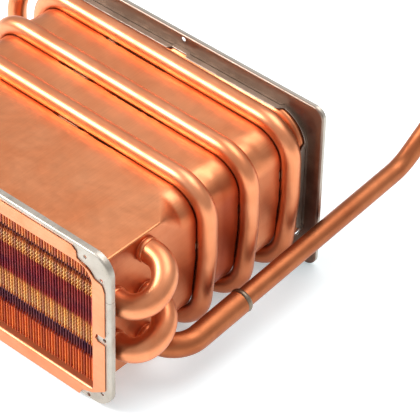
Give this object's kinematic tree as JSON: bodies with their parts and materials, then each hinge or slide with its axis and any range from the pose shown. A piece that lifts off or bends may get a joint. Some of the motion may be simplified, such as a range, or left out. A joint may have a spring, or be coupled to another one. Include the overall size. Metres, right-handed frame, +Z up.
{
  "type": "finned tube heat exchanger",
  "caption": "Copper finned-tube heat exchanger for a gas water heater: sheet shell wound with a water coil, fins and return bends at the flue end, steel flange at the burner end.",
  "frame": {"origin": "middle of the bottom of the model's box, as it lies on a table", "axes": "+Y along the gas path from the fins to the burner flange and the water ports, +X to the side with the outlet elbow, +Z up as it lies. In use the fins are on top, so +Y points down."},
  "size_m": [0.347, 0.4152, 0.1472],
  "materials": {
    "copper": null,
    "bright_copper": "thin bright copper fins",
    "zinc_plated_steel": "satin pressed sheet steel",
    "heated_steel": "pressed steel browned by heat",
    "silver_solder": "grey brazing alloy",
    "brass": "turned brass",
    "fibre_seal": "matt pressed fibre"
  },
  "bodies": {
    "exchanger": {"shell": "copper", "fin_pack": "bright_copper", "wrap_coil": "copper", "coil_riser": "copper", "inlet_pipe": "copper", "outlet_pipe": "copper", "outlet_elbow": "copper", "inlet_sleeve": "copper", "riser_sleeve": "copper", "outlet_braze_ring": "silver_solder", "frame_upper": "zinc_plated_steel", "frame_lower": "zinc_plated_steel", "burner_collar": "heated_steel", "burner_flange": "heated_steel", "inlet_collar": "brass", "outlet_collar": "brass", "inlet_seal": "fibre_seal", "outlet_seal": "fibre_seal", "fin_tube_1": "copper", "fin_tube_2": "copper", "fin_tube_3": "copper", "fin_tube_4": "copper", "fin_tube_5": "copper", "return_bend_left_upper": "copper", "return_bend_left_lower": "copper", "return_bend_right_upper": "copper", "return_bend_right_lower": "copper"},
    "inlet_nut": {"inlet_nut": "brass"},
    "outlet_nut": {"outlet_nut": "brass"}
  },
  "joints": [
    {"name": "inlet_nut_turn", "type": "hinge", "parent": "exchanger", "child": "inlet_nut", "pos_m": [-0.1615, 0.19855, 0.1136], "axis": [0, 1, 0], "continuous": true},
    {"name": "outlet_nut_turn", "type": "hinge", "parent": "exchanger", "child": "outlet_nut", "pos_m": [0.1615, 0.19855, 0.1136], "axis": [0, 1, 0], "continuous": true}
  ]
}
